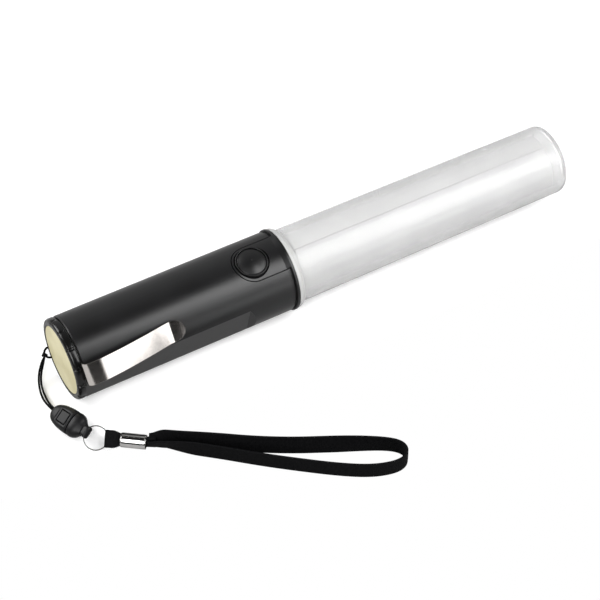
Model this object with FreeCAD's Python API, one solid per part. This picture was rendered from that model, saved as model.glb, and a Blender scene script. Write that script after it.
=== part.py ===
import FreeCAD, Part
import math
import os

# Traffic baton light lying on its side, in millimetres.
# The sub-parts are drawn on the baton's own axis: X runs from the tail end face to the tip,
# Z is up, and -Y is the side of the clip and the wrist strap. Every shape is then shifted so
# that the origin is on the floor, under the middle of the baton.

V = FreeCAD.Vector

# Driving dimensions of the baton
TOTAL_LENGTH = 290.0
GRIP_R = 21.5
CAP_LENGTH = 4.1
SLEEVE_START = 5.0
SLEEVE_END = 120.6
HEAD_END = 123.4
HEAD_R = 22.2
SLEEVE_WALL = 2.4
COLLAR_END = 127.0
TUBE_BASE_R = 19.7
TUBE_TIP_R = 19.0
TUBE_WALL = 1.6
FILM_END = 281.0
GAP = 0.1

# Angles around the axis: 0 faces -Y, 90 is up
BUTTON_ANGLE = 76.0
BUTTON_X = 104.6
CLIP_ANGLE = 25.0
FLAT_ANGLE = -15.0
EYE_ANGLE = 214.0

# Where the baton rests: the floor is one head radius below the axis
FLOOR = -HEAD_R
CLIP_SIDE_REACH = 27.32
SHIFT = V(-TOTAL_LENGTH / 2, (CLIP_SIDE_REACH - HEAD_R) / 2, HEAD_R)

BORE_R = GRIP_R - SLEEVE_WALL
AXIS = V(1, 0, 0)
ORIGIN = V(0, 0, 0)


def radial(angle):
    """Unit vector away from the axis at an angle around it."""
    a = math.radians(angle)
    return V(0, -math.cos(a), math.sin(a))


def tangent(angle):
    """Unit vector around the axis, towards larger angles."""
    a = math.radians(angle)
    return V(0, math.sin(a), math.cos(a))


def save(name, shape):
    """Shift a finished sub-part into the object's frame and write it."""
    moved = shape.copy()
    moved.translate(SHIFT)
    if moved.ShapeType == "Compound" and len(moved.Solids) == 1:
        moved = moved.Solids[0]
    moved.exportStep("parts/" + name + ".step")
    box = moved.BoundBox
    print("%-20s solids %d valid %s volume %9.1f  z %.2f..%.2f" % (
        name, len(moved.Solids), moved.isValid(), moved.Volume, box.ZMin, box.ZMax))


def rod(x0, x1, r):
    """Cylinder on the axis."""
    return Part.makeCylinder(r, x1 - x0, V(x0, 0, 0), AXIS)


def pipe(x0, x1, r_in, r_out):
    """Plain tube on the axis."""
    return rod(x0, x1, r_out).cut(rod(x0 - 1, x1 + 1, r_in))


def turned(points):
    """Solid of revolution about the axis from a closed outline of (x, r) points."""
    wire = Part.makePolygon([V(x, 0, r) for x, r in points + points[:1]])
    return Part.Face(wire).revolve(ORIGIN, AXIS, 360)


def post(angle, x, r0, r1, radius):
    """Cylinder along a radial direction, from radius r0 to r1."""
    return Part.makeCylinder(radius, r1 - r0, V(x, 0, 0) + radial(angle) * r0, radial(angle))


def frame_box(origin, along, across, up, size):
    """Box with one corner at origin and its edges along three given directions."""
    length, width, height = size
    a, b, c = along * length, across * width, up * height
    base = Part.Face(Part.makePolygon([origin, origin + a, origin + a + b, origin + b, origin]))
    return base.extrude(c)


def slab(angle, x0, x1, half_width, r0, r1):
    """Box standing on a radial direction, centred on it."""
    corner = V(x0, 0, 0) + radial(angle) * r0 - tangent(angle) * half_width
    return frame_box(corner, AXIS, tangent(angle), radial(angle), (x1 - x0, 2 * half_width, r1 - r0))


def bead(x, r, thick):
    """Round ring about the axis."""
    return Part.makeTorus(r, thick / 2, V(x, 0, 0), AXIS)


# ---------------------------------------------------------------- grip

TONGUE_HALF = 10.1
TONGUE_GAP = 0.45
FLAT_DEPTH = 2.2
FLAT_END = 95.0
FLAT_RAMP = 3.2
END_RING_END = 14.2
END_BORE_R = 18.6
MOUTH_CHAMFER = 0.6
PAD_R = 17.4


def tongue_prism(half, x_end):
    """Radial prism with one round end about the button and straight sides to the head."""
    bar = slab(BUTTON_ANGLE, BUTTON_X, x_end, half, 10, 30)
    return bar.fuse(post(BUTTON_ANGLE, BUTTON_X, 10, 30, half))


def sleeve_blank():
    """Outside of the grip: a round bar with a long shallow flat on its lower side."""
    bar = turned([(SLEEVE_START, 0), (SLEEVE_START, GRIP_R - 0.4), (SLEEVE_START + 0.4, GRIP_R),
                  (SLEEVE_END - 0.3, GRIP_R), (SLEEVE_END, GRIP_R - 0.3), (SLEEVE_END, 0)])
    flat_r = GRIP_R - FLAT_DEPTH
    return bar.cut(slab(FLAT_ANGLE, SLEEVE_START - 1, FLAT_END, 20, flat_r, GRIP_R + 5))


def flat_ramp():
    """Wedge that eases the end of the flat out to the full radius."""
    flat_r = GRIP_R - FLAT_DEPTH
    reach = 20.0
    corners = [(FLAT_END - 1, flat_r), (FLAT_END, flat_r), (FLAT_END + FLAT_RAMP, GRIP_R),
               (FLAT_END + FLAT_RAMP, GRIP_R + 1), (FLAT_END - 1, GRIP_R + 1)]
    side = Part.makePolygon([V(x, -reach, r) for x, r in corners + corners[:1]])
    wedge = Part.Face(side).extrude(V(0, 2 * reach, 0))
    wedge.rotate(ORIGIN, AXIS, 90 - FLAT_ANGLE)
    return wedge


def grip_sleeve():
    """Main length of the grip, with the wall backed by a pad inside the flat."""
    body = sleeve_blank().cut(rod(SLEEVE_START - 1, SLEEVE_END + 1, BORE_R)).cut(flat_ramp())
    body = body.cut(rod(SLEEVE_START - 1, END_RING_END, GRIP_R + 5))
    body = body.cut(tongue_prism(TONGUE_HALF + TONGUE_GAP, SLEEVE_END + 5))
    pad = slab(FLAT_ANGLE, END_RING_END, FLAT_END + 1, 10, PAD_R, BORE_R + 0.1)
    pad = pad.common(rod(END_RING_END, FLAT_END + 1, BORE_R + 0.05))
    return body.fuse(pad).removeSplitter()


def sleeve_end_ring():
    """Bonded end of the grip that takes the screw cap, flush with the sleeve outside."""
    ring = sleeve_blank().common(rod(SLEEVE_START - 1, END_RING_END, GRIP_R + 5))
    ring = ring.cut(rod(SLEEVE_START - 1, END_RING_END + 1, END_BORE_R))
    mouth = END_BORE_R + MOUTH_CHAMFER
    return ring.cut(turned([(SLEEVE_START - 1, 0), (SLEEVE_START - 1, mouth), (SLEEVE_START, mouth),
                            (SLEEVE_START + MOUTH_CHAMFER, END_BORE_R), (SLEEVE_START + MOUTH_CHAMFER, 0)]))


# ---------------------------------------------------------------- head and button

SPIGOT_START = 111.0
SPIGOT_WALL = 1.6
GROOVE_R = 20.6
LIP_LENGTH = 1.5
FLARE_LENGTH = 2.6
SEAL_R = 9.1
SEAL_TOP = 21.7
BUTTON_R = 7.4
DOME_R = 16.0
DOME_TOP = 23.0
TONGUE_BACK = BUTTON_X - TONGUE_HALF
BUTTON_FOOT = 18.4


def head_ring():
    """Front ring, its spigot inside the sleeve, and the tongue that carries the button."""
    spigot_in = BORE_R - GAP - SPIGOT_WALL
    groove_end = HEAD_END - LIP_LENGTH
    lip_top = groove_end + 0.3
    ring = turned([(SPIGOT_START, spigot_in), (SPIGOT_START, BORE_R - GAP), (SLEEVE_END, BORE_R - GAP),
                   (SLEEVE_END, GROOVE_R), (groove_end, GROOVE_R), (groove_end, HEAD_R - 0.3),
                   (lip_top, HEAD_R), (HEAD_END - 0.3, HEAD_R), (HEAD_END, HEAD_R - 0.3),
                   (HEAD_END, TUBE_BASE_R + 0.15), (HEAD_END - 1.6, TUBE_BASE_R + 0.15),
                   (HEAD_END - 1.6, spigot_in)])
    shell = pipe(TONGUE_BACK - 1, groove_end + GAP, BORE_R - GAP, GRIP_R)
    tongue = shell.common(tongue_prism(TONGUE_HALF, groove_end + GAP))
    flare = turned([(lip_top - FLARE_LENGTH, GRIP_R - 1), (lip_top - FLARE_LENGTH, GRIP_R), (lip_top, HEAD_R),
                    (lip_top, GRIP_R - 1)])
    flare = flare.common(tongue_prism(TONGUE_HALF, lip_top))
    skirt = pipe(TONGUE_BACK - 1, SPIGOT_START + 0.5, spigot_in, BORE_R - GAP)
    skirt = skirt.common(tongue_prism(TONGUE_HALF, SPIGOT_START + 0.5))
    body = ring.fuse(tongue).fuse(flare).fuse(skirt)
    return body.cut(post(BUTTON_ANGLE, BUTTON_X, 10, 30, SEAL_R)).removeSplitter()


def button_seal():
    """Flat-topped bezel around the button."""
    ring = post(BUTTON_ANGLE, BUTTON_X, 17.6, SEAL_TOP, SEAL_R - 0.05)
    ring = ring.makeFillet(0.4, [e for e in ring.Edges if abs(on_radial(e) - SEAL_TOP) < 0.01])
    return ring.cut(post(BUTTON_ANGLE, BUTTON_X, 10, 31, BUTTON_R + 0.35))


def on_radial(edge):
    """Height of an edge's middle along the button's direction."""
    return edge.CenterOfMass.dot(radial(BUTTON_ANGLE))


def button_cap():
    """Domed push button with its stem."""
    barrel = post(BUTTON_ANGLE, BUTTON_X, BUTTON_FOOT, 30, BUTTON_R)
    ball = Part.makeSphere(DOME_R, V(BUTTON_X, 0, 0) + radial(BUTTON_ANGLE) * (DOME_TOP - DOME_R))
    return barrel.common(ball)


SWITCH_SIDE = 6.0
BOARD_R0 = 14.0
BOARD_THICK = 1.0
PLUNGER_R = 1.6


def switch_board():
    return slab(BUTTON_ANGLE, BUTTON_X - 8, BUTTON_X + 6, 5.5, BOARD_R0, BOARD_R0 + BOARD_THICK)


def switch_body():
    """Square tact switch with a well for its plunger."""
    half = SWITCH_SIDE / 2
    r0 = BOARD_R0 + BOARD_THICK
    body = slab(BUTTON_ANGLE, BUTTON_X - half, BUTTON_X + half, half, r0, r0 + 2.2)
    return body.cut(post(BUTTON_ANGLE, BUTTON_X, r0 + 0.5, r0 + 3, PLUNGER_R + 0.15))


def switch_plunger():
    return post(BUTTON_ANGLE, BUTTON_X, BOARD_R0 + BOARD_THICK + 1.7, BUTTON_FOOT, PLUNGER_R)


# ---------------------------------------------------------------- battery bay

CELL_R = 13.1
CELL_LENGTH = 50.0
NUB_LENGTH = 1.5
NUB_R = 3.3
CELL_START = 12.0
BARREL_IN = 13.45
BARREL_OUT = 14.6
BARREL_START = 14.5
BARREL_END = 112.2
STRIP_ANGLE = 255.0
RIB_ANGLES = (20, 165, 225, 285)
WIRE_ANGLES = (BUTTON_ANGLE - 8.0, BUTTON_ANGLE + 8.0)
WIRE_PLACE_R = 14.6
WIRE_R = 0.5


def battery_barrel():
    """Liner that holds the two cells, on ribs inside the sleeve."""
    body = pipe(BARREL_START, BARREL_END, BARREL_IN, BARREL_OUT)
    for angle in RIB_ANGLES:
        rib_end = SPIGOT_START - 1
        rib = slab(angle, BARREL_START, rib_end, 1.0, BARREL_OUT - 0.4, BORE_R - 0.3)
        body = body.fuse(rib)
    pocket = slab(BUTTON_ANGLE, BUTTON_X - 8.6, BARREL_END + 1, 6.1, 12, 20)
    return body.cut(pocket)


def cell(start):
    """C cell with its raised positive end towards the tip."""
    end = start + CELL_LENGTH
    face = end - NUB_LENGTH
    bevel = 0.8
    return turned([(start, 0), (start, CELL_R - bevel), (start + bevel, CELL_R), (face - bevel, CELL_R),
                   (face, CELL_R - bevel), (face, NUB_R), (end, NUB_R), (end, 0)])


def front_contact():
    x = CELL_START + 2 * CELL_LENGTH
    return rod(x + 0.05, x + 0.75, 7.0)


def contact_carrier():
    """Disc that closes the front of the battery bay."""
    x = CELL_START + 2 * CELL_LENGTH + 0.8
    disc = rod(x, x + 2.2, BORE_R - GAP - SPIGOT_WALL - 0.15)
    for angle in WIRE_ANGLES:
        disc = disc.cut(Part.makeCylinder(WIRE_R + 0.3, 6, V(x - 1, 0, 0) + radial(angle) * WIRE_PLACE_R, AXIS))
    return disc


def switch_wires():
    """Two leads from the switch board forward to the lamp board."""
    start = BUTTON_X + 6.1
    length = LED_BOARD_X - 0.05 - start
    leads = []
    for angle in WIRE_ANGLES:
        leads.append(Part.makeCylinder(WIRE_R, length, V(start, 0, 0) + radial(angle) * WIRE_PLACE_R, AXIS))
    return Part.Compound(leads)


def ground_strip():
    """Metal strip that brings the tail contact forward along the sleeve."""
    return slab(STRIP_ANGLE, BARREL_START + 1, SPIGOT_START - 1, 2.5, 17.4, 17.8)


# ---------------------------------------------------------------- tail cap

LABEL_R = 18.0
LOBES = 13
LOBE_ANGLE = 79.5
SKIRT_END = 13.2
SKIRT_OUT = END_BORE_R - 1.4
SKIRT_IN = 15.5
THREAD_PITCH = 1.5
THREAD_TURNS = 3
EYE_R = 19.7
CAP_FLOOR = 3.0
LOBE_GROOVE_R = 1.2
O_RING_X = 6.0
THREAD_START = 7.9
EYE_SPREAD = 8.0
HOLE_R = 0.8


CONTACT_X = 3.2
CONTACT_THICK = 0.5
SPRING_TURNS = 4
SPRING_R = 9.0


def tail_cap():
    """Screw cap with shallow lobes, its threaded skirt, and the holes for the lanyard."""
    body = turned([(0, 0), (0, GRIP_R - 1.4), (0.4, GRIP_R - 0.9), (1.8, GRIP_R), (CAP_LENGTH - 0.3, GRIP_R),
                   (CAP_LENGTH, GRIP_R - 0.3), (CAP_LENGTH, SKIRT_OUT), (SKIRT_END, SKIRT_OUT),
                   (SKIRT_END, SKIRT_IN), (CAP_FLOOR, SKIRT_IN), (CAP_FLOOR, 0)])
    body = body.cut(rod(-1, 0.9, LABEL_R + 0.15))
    for k in range(LOBES):
        foot = V(-1, 0, 0) + radial(LOBE_ANGLE + k * 360.0 / LOBES) * (GRIP_R + 0.65)
        groove = Part.makeCylinder(LOBE_GROOVE_R, CAP_LENGTH + 0.6, foot, AXIS)
        body = body.cut(groove)
    for k in range(THREAD_TURNS + 1):
        x = THREAD_START + k * THREAD_PITCH
        ridge = turned([(x - 0.55, SKIRT_OUT - 0.2), (x - 0.15, SKIRT_OUT + 0.45),
                        (x + 0.15, SKIRT_OUT + 0.45), (x + 0.55, SKIRT_OUT - 0.2)])
        body = body.fuse(ridge)
    for side in (-1, 1):
        foot = radial(EYE_ANGLE + side * EYE_SPREAD) * EYE_R
        body = body.cut(Part.makeCylinder(HOLE_R, 3.9, V(-0.5, 0, 0) + foot, AXIS))
    half = EYE_R * math.radians(EYE_SPREAD)
    return body.cut(slab(EYE_ANGLE, 1.9, 3.4, half, EYE_R - 1.0, EYE_R + 0.6))


def cap_label():
    """Plain disc set into the end of the cap."""
    return rod(0.15, 0.85, LABEL_R)


def tail_contact():
    """Contact plate that the spring stands on; it keeps still while the cap turns."""
    return rod(CONTACT_X, CONTACT_X + CONTACT_THICK, 14.0)


def tail_spring():
    """Battery spring."""
    wire_r = 0.5
    start = CONTACT_X + CONTACT_THICK + wire_r + 0.02
    height = CELL_START - wire_r - 0.05 - start
    helix = Part.makeHelix(height / SPRING_TURNS, height, SPRING_R)
    section = Part.Wire([Part.makeCircle(wire_r, V(SPRING_R, 0, 0), V(0, 1, 0))])
    coil = Part.Wire(helix.Edges).makePipeShell([section], True, False)
    coil.rotate(ORIGIN, V(0, 1, 0), 90)
    coil.translate(V(start, 0, 0))
    return coil


def tail_o_ring():
    return bead(O_RING_X, SKIRT_OUT + 0.4, 1.4).cut(rod(0, 20, SKIRT_OUT))


# ---------------------------------------------------------------- pocket clip

CLIP_THICK = 0.6
CLIP_RING_START = (CAP_LENGTH + SLEEVE_START - CLIP_THICK) / 2
CLIP_RING_OUT = 20.0
CLIP_WIDTH = 12.0
CLIP_TIP_WIDTH = 11.4
CLIP_RISE = 27.4
CLIP_TIP_X = 58.8
CLIP_SKEW = 2.6
CLIP_FOOT_R = GRIP_R + 0.3


def clip_ring():
    """Flat washer of the clip, trapped between the cap and the sleeve."""
    ring = pipe(CLIP_RING_START, CLIP_RING_START + CLIP_THICK, END_BORE_R, CLIP_RING_OUT)
    lug = slab(CLIP_ANGLE, CLIP_RING_START, CLIP_RING_START + CLIP_THICK, 4.5, 19.5, CLIP_FOOT_R)
    return ring.fuse(lug).removeSplitter()


def clip_profile():
    """Side outline of the arm as (x, r): flange, bend, bowed run, dip and flared tip."""
    x = CLIP_RING_START
    bend_r = 1.9
    root = V(x, 0, CLIP_FOOT_R + 0.15)
    bend = V(x, 0, CLIP_RISE - bend_r)
    turn_mid = V(x + bend_r * 0.293, 0, CLIP_RISE - bend_r * 0.293)
    run = V(x + bend_r, 0, CLIP_RISE)
    dip = V(52.4, 0, GRIP_R + 0.95)
    tip = V(CLIP_TIP_X, 0, GRIP_R + 2.6)
    curve = Part.BSplineCurve()
    curve.interpolate([run, V(14.0, 0, 27.3), V(26.0, 0, 26.4), V(38.0, 0, 24.7), V(46.0, 0, 23.2), dip, tip])
    edges = [Part.LineSegment(root, bend).toShape(), Part.Arc(bend, turn_mid, run).toShape(), curve.toShape()]
    return Part.Wire(edges)


def clip_arm():
    """Sprung steel arm of the clip, a bent strip with a round free end."""
    wire = clip_profile()
    points = wire.discretize(Distance=0.8)
    inner = []
    for i, p in enumerate(points):
        before = points[max(i - 1, 0)]
        after = points[min(i + 1, len(points) - 1)]
        run = (after - before).normalize()
        inner.append(p + V(run.z, 0, -run.x) * CLIP_THICK)
    side = Part.makePolygon(points + inner[::-1] + points[:1])
    band = Part.Face(side).extrude(V(0, CLIP_WIDTH, 0))
    band.translate(V(0, -CLIP_WIDTH / 2, 0))
    tip_r = CLIP_TIP_WIDTH / 2
    round_x = CLIP_TIP_X - tip_r
    plan = Part.makePolygon([V(0, -CLIP_WIDTH / 2, 0), V(round_x, -tip_r, 0), V(round_x, tip_r, 0),
                             V(0, CLIP_WIDTH / 2, 0), V(0, -CLIP_WIDTH / 2, 0)])
    blank = Part.Face(plan).extrude(V(0, 0, 40))
    blank = blank.fuse(Part.makeCylinder(tip_r, 40, V(round_x, 0, 0)))
    arm = band.common(blank)
    arm.rotate(V(CLIP_RING_START, 0, 0), V(0, 0, 1), CLIP_SKEW)
    arm.rotate(ORIGIN, AXIS, 90 - CLIP_ANGLE)
    return arm


# ---------------------------------------------------------------- light tube

TUBE_START = HEAD_END - 1.35
TUBE_EDGE = 2.6


def light_tube():
    """Clear moulded tube with slight draft and a closed, rounded tip."""
    end = TOTAL_LENGTH
    arc_x = end - TUBE_EDGE
    c = math.cos(math.pi / 4)
    outer = [V(TUBE_START, 0, 0), V(TUBE_START, 0, TUBE_BASE_R), V(arc_x, 0, TUBE_TIP_R)]
    rim = V(end, 0, TUBE_TIP_R - TUBE_EDGE)
    mid = V(arc_x + TUBE_EDGE * c, 0, TUBE_TIP_R - TUBE_EDGE + TUBE_EDGE * c)
    edges = [Part.LineSegment(outer[0], outer[1]).toShape(), Part.LineSegment(outer[1], outer[2]).toShape(),
             Part.Arc(outer[2], mid, rim).toShape(), Part.LineSegment(rim, V(end, 0, 0)).toShape(),
             Part.LineSegment(V(end, 0, 0), outer[0]).toShape()]
    solid = Part.Face(Part.Wire(edges)).revolve(ORIGIN, AXIS, 360)
    r0 = TUBE_BASE_R - TUBE_WALL
    r1 = TUBE_TIP_R - TUBE_WALL
    hollow_end = end - 2.2
    hollow = turned([(TUBE_START - 1, 0), (TUBE_START - 1, r0), (hollow_end - 1.5, r1),
                     (hollow_end, r1 - 1.5), (hollow_end, 0)])
    return solid.cut(hollow)


def tube_collar():
    """Translucent retaining collar at the base of the tube."""
    bore = TUBE_BASE_R + 0.15
    return turned([(HEAD_END + 0.05, bore), (HEAD_END + 0.05, HEAD_R - 0.1), (COLLAR_END - 1.6, HEAD_R - 0.5),
                   (COLLAR_END - 0.8, HEAD_R - 1.2), (COLLAR_END, HEAD_R - 1.5), (COLLAR_END, bore)])


FILM_THICK = 0.4
FILM_START = 124.0
FILM_SEAM_ANGLE = 71.0


def diffuser_film():
    """Rolled white sheet inside the tube, open along its seam."""
    r0 = TUBE_BASE_R - TUBE_WALL - 0.25
    r1 = TUBE_TIP_R - TUBE_WALL - 0.15
    film = turned([(FILM_START, r0), (FILM_END, r1), (FILM_END, r1 - FILM_THICK), (FILM_START, r0 - FILM_THICK)])
    return film.cut(slab(FILM_SEAM_ANGLE, FILM_START - 1, FILM_END + 1, 0.2, 10, 25))


# ---------------------------------------------------------------- light source

LED_BOARD_X = 115.4
LED_COUNT = 3
LED_RING_R = 6.5


def led_spots():
    return [radial(90 + k * 360.0 / LED_COUNT) * LED_RING_R for k in range(LED_COUNT)]


def led_board():
    board = rod(LED_BOARD_X, LED_BOARD_X + 1.6, 16.9)
    for angle in (0, 180):
        board = board.cut(Part.makeCylinder(1.15, 4, V(LED_BOARD_X - 1, 0, 0) + radial(angle) * 14.2, AXIS))
    return board


def leds():
    """Round 5 mm lamps with their flanges, one solid each."""
    x = LED_BOARD_X + 1.65
    lamps = []
    for spot in led_spots():
        flange = Part.makeCylinder(2.9, 1.0, V(x, 0, 0) + spot, AXIS)
        stem = Part.makeCylinder(2.5, 6.0, V(x, 0, 0) + spot, AXIS)
        tip = Part.makeSphere(2.5, V(x + 6.0, 0, 0) + spot)
        lamps.append(flange.fuse(stem).fuse(tip).removeSplitter())
    return Part.Compound(lamps)


def reflector_cup():
    """White cone around the lamps, with a hole for each."""
    x = LED_BOARD_X + 3.6
    cup = turned([(x, 0), (x, 12.5), (x + 9, 17.2), (x + 9, 16.2), (x + 1.2, 11.6), (x + 1.2, 0)])
    for spot in led_spots():
        cup = cup.cut(Part.makeCylinder(2.8, 20, V(x - 1, 0, 0) + spot, AXIS))
    return cup


def board_screws():
    """Two small screws that hold the lamp board to the contact carrier."""
    screws = []
    for angle in (0, 180):
        foot = radial(angle) * 14.2
        head_x = LED_BOARD_X + 1.65
        head = Part.makeCylinder(1.9, 1.2, V(head_x, 0, 0) + foot, AXIS)
        shank = Part.makeCylinder(1.0, 1.7, V(LED_BOARD_X, 0, 0) + foot, AXIS)
        slot = frame_box(V(head_x + 0.7, -0.25, -3) + foot, AXIS, V(0, 1, 0), V(0, 0, 1), (1, 0.5, 6))
        screws.append(head.fuse(shank).cut(slot))
    return Part.Compound(screws)


def led_driver():
    """Flasher chip on the front of the lamp board, beside the lamps."""
    return slab(285, LED_BOARD_X + 1.65, LED_BOARD_X + 2.75, 2.5, 10.4, 14.4)


# ---------------------------------------------------------------- cords

def tube_wire(points):
    """Straight runs joined by tangent arcs as large as the runs allow."""
    edges = []
    radii = []
    last = points[0]
    for before, corner, after in zip(points, points[1:], points[2:]):
        back = before - corner
        ahead = after - corner
        half_turn = (math.pi - back.getAngle(ahead)) / 2
        reach = 0.45 * min(back.Length, ahead.Length)
        radii.append(reach / math.tan(half_turn))
        start = corner + back.normalize() * reach
        end = corner + ahead.normalize() * reach
        toward = (start + end) * 0.5 - corner
        centre = corner + toward.normalize() * (radii[-1] / math.cos(half_turn))
        middle = centre + (corner - centre).normalize() * radii[-1]
        edges.append(Part.LineSegment(last, start).toShape())
        edges.append(Part.Arc(start, middle, end).toShape())
        last = end
    edges.append(Part.LineSegment(last, points[-1]).toShape())
    return Part.Wire(edges), radii


def cord_tube(name, points, diameter):
    """Round cord along a route, with its radii and volume printed."""
    wire, radii = tube_wire(points)
    ahead = points[1] - points[0]
    section = Part.Wire([Part.makeCircle(diameter / 2, points[0], ahead)])
    tube = wire.makePipeShell([section], True, False)
    expected = math.pi * diameter ** 2 / 4 * wire.Length
    print(name, "length %.1f" % wire.Length, "radii", [round(r, 1) for r in radii],
          "volume %.2f of %.2f" % (tube.Volume, expected))
    return tube


CORD_D = 1.1
HITCH_R = 1.2
HITCH_LENGTH = 2.8
KNOT = V(-2.2, 16.6, -11.6)
CORD_FRONT = [V(-2.6, 16.4, -12.4), V(-5.6, 14.8, -14.6), V(-9.0, 11.0, -17.6), V(-11.5, 5.6, -20.1),
              V(-12.9, -1.4, -20.7), V(-12.6, -8.4, -19.4), V(-11.7, -13.2, -18.6)]
CORD_BACK = [V(-2.2, 17.4, -12.9), V(-4.6, 15.0, -16.2), V(-7.6, 11.6, -18.9), V(-10.0, 6.4, -20.9),
             V(-11.2, -0.8, -20.9), V(-11.5, -7.6, -19.8), V(-10.6, -13.0, -18.8)]


def cord_bight():
    """Stretch of the cord through the two holes of the cap."""
    spots = [radial(EYE_ANGLE + side * EYE_SPREAD) * EYE_R for side in (-1, 1)]
    inside = V(2.65, 0, 0)
    outside = V(-0.15, 0, 0)
    cross = spots[1] - spots[0]
    legs = [Part.makeCylinder(CORD_D / 2, (inside - outside).Length, outside + spot, AXIS) for spot in spots]
    corners = [Part.makeSphere(CORD_D / 2, inside + spot) for spot in spots]
    bridge = Part.makeCylinder(CORD_D / 2, cross.Length, inside + spots[0], cross)
    return bridge.multiFuse(legs + corners).removeSplitter()


def cord_knot():
    """Hitch of the cord just outside the two holes."""
    along = tangent(EYE_ANGLE)
    hitch = Part.makeCylinder(HITCH_R, HITCH_LENGTH, KNOT - along * (HITCH_LENGTH / 2), along)
    return hitch.makeFillet(0.6, hitch.Edges[:1] + hitch.Edges[2:3])


# ---------------------------------------------------------------- quick-release buckle

BUCKLE_AXIS_ANGLE = -71.0
BUCKLE_PITCH = 8.0
BUCKLE_ROLL = 28.0
BUCKLE_CENTRE = V(-8.7, -21.5, FLOOR + 4.65)
NOSE = -9.0
SPLIT = 5.2
SHOULDER = 12.5
POST_HOLE = 13.9


def buckle_place(shape):
    """Put a shape drawn on its own axis (X from nose to post, Z up) where the buckle lies."""
    shape.rotate(ORIGIN, AXIS, BUCKLE_ROLL)
    shape.rotate(ORIGIN, V(0, 1, 0), -BUCKLE_PITCH)
    shape.rotate(ORIGIN, V(0, 0, 1), BUCKLE_AXIS_ANGLE)
    shape.translate(BUCKLE_CENTRE)
    return shape


def buckle_point(x, y, z):
    return buckle_place(Part.Vertex(x, y, z)).Point


def oval(x, half_width, half_thick):
    """Closed oval section across the buckle."""
    curve = Part.Ellipse(V(x, 0, 0), half_width, half_thick)
    wire = Part.Wire([curve.toShape()])
    wire.rotate(V(x, 0, 0), V(0, 1, 0), 90)
    wire.rotate(V(x, 0, 0), AXIS, 90)
    return wire


def lofted(sections):
    """Smooth body through oval sections given as (x, half width, half thickness)."""
    return Part.makeLoft([oval(*s) for s in sections], True, False)


SOCKET_SECTIONS = [(NOSE, 2.6, 2.2), (-7.2, 4.4, 2.9), (-3.6, 5.7, 3.5), (1.0, 6.3, 3.9), (SPLIT, 6.35, 4.05)]
PLUG_SECTIONS = [(SPLIT + 0.35, 6.35, 4.15), (8.0, 6.3, 4.2), (10.4, 5.5, 3.7), (SHOULDER, 3.6, 2.4)]


def buckle_cavity(spare):
    """Room inside the socket for the tongue of the plug."""
    half = 3.6 + spare
    return frame_box(V(-5.2 - spare, -half, -1.5 - spare), AXIS, V(0, 1, 0), V(0, 0, 1),
                     (SPLIT + 6.0, 2 * half, 3.0 + 2 * spare))


def buckle_window(spare):
    """Square window in the upper face that shows the release pad."""
    half = 3.2 + spare
    return frame_box(V(-3.0 - spare, -half, 0), AXIS, V(0, 1, 0), V(0, 0, 1),
                     (6.0 + 2 * spare, 2 * half, 6))


def buckle_socket():
    """Female half, tied to the cord at its nose."""
    body = lofted(SOCKET_SECTIONS)
    body = body.cut(buckle_cavity(0.25))
    body = body.cut(buckle_window(0.2))
    bar_hole = Part.makeCylinder(0.75, 16, V(-7.0, 0, -8), V(0, 0, 1))
    body = body.cut(bar_hole)
    return buckle_place(body)


def buckle_plug():
    """Male half: tongue, shoulder and the eye post for the ring."""
    body = lofted(PLUG_SECTIONS)
    tongue = frame_box(V(-4.8, -3.4, -1.5), AXIS, V(0, 1, 0), V(0, 0, 1), (SPLIT + 6.0, 6.8, 1.0))
    neck = frame_box(V(SHOULDER - 2, -2.6, -1.6), AXIS, V(0, 1, 0), V(0, 0, 1), (POST_HOLE - SHOULDER + 2, 5.2, 3.2))
    eye = Part.makeCylinder(2.0, 5.2, V(POST_HOLE, -2.6, 0), V(0, 1, 0))
    body = body.fuse(tongue).fuse(neck).fuse(eye)
    body = body.cut(Part.makeCylinder(1.15, 8, V(POST_HOLE, -4, 0), V(0, 1, 0)))
    return buckle_place(body.removeSplitter())


def buckle_latch():
    """Release pad that shows in the window."""
    pad = frame_box(V(-2.7, -2.9, 0.9), AXIS, V(0, 1, 0), V(0, 0, 1), (5.4, 5.8, 2.3))
    return buckle_place(pad)


# ---------------------------------------------------------------- ring, ferrule and strap

RING_R = 5.95
RING_WIRE_R = 0.5
RING_DROP = 30.0
FERRULE_START = V(9.6, -45.6, FLOOR + 3.7)
FERRULE_END = V(19.4, -52.9, FLOOR + 3.7)
FERRULE_R = 3.5
FERRULE_WALL = 0.5
STRAP_WIDTH = 10.0
STRAP_THICK = 1.5
LOOP_SWINGS = (-20, -10, 0, 12, 25)


def ring_centre():
    a = math.radians(RING_DROP)
    return buckle_point(POST_HOLE + RING_R * math.cos(a), 0, -RING_R * math.sin(a))


def ring_normal():
    a = math.radians(RING_DROP)
    return (buckle_point(math.sin(a), 0, math.cos(a)) - buckle_point(0, 0, 0)).normalize()


def split_ring():
    return Part.makeTorus(RING_R, RING_WIRE_R, ring_centre(), ring_normal())


def ferrule():
    """Crimped metal tube that gathers the webbing."""
    run = FERRULE_END - FERRULE_START
    outer = Part.makeCylinder(FERRULE_R, run.Length, FERRULE_START, run)
    inner = Part.makeCylinder(FERRULE_R - FERRULE_WALL, run.Length + 2, FERRULE_START - run.normalize(), run)
    return outer.cut(inner)


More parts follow.
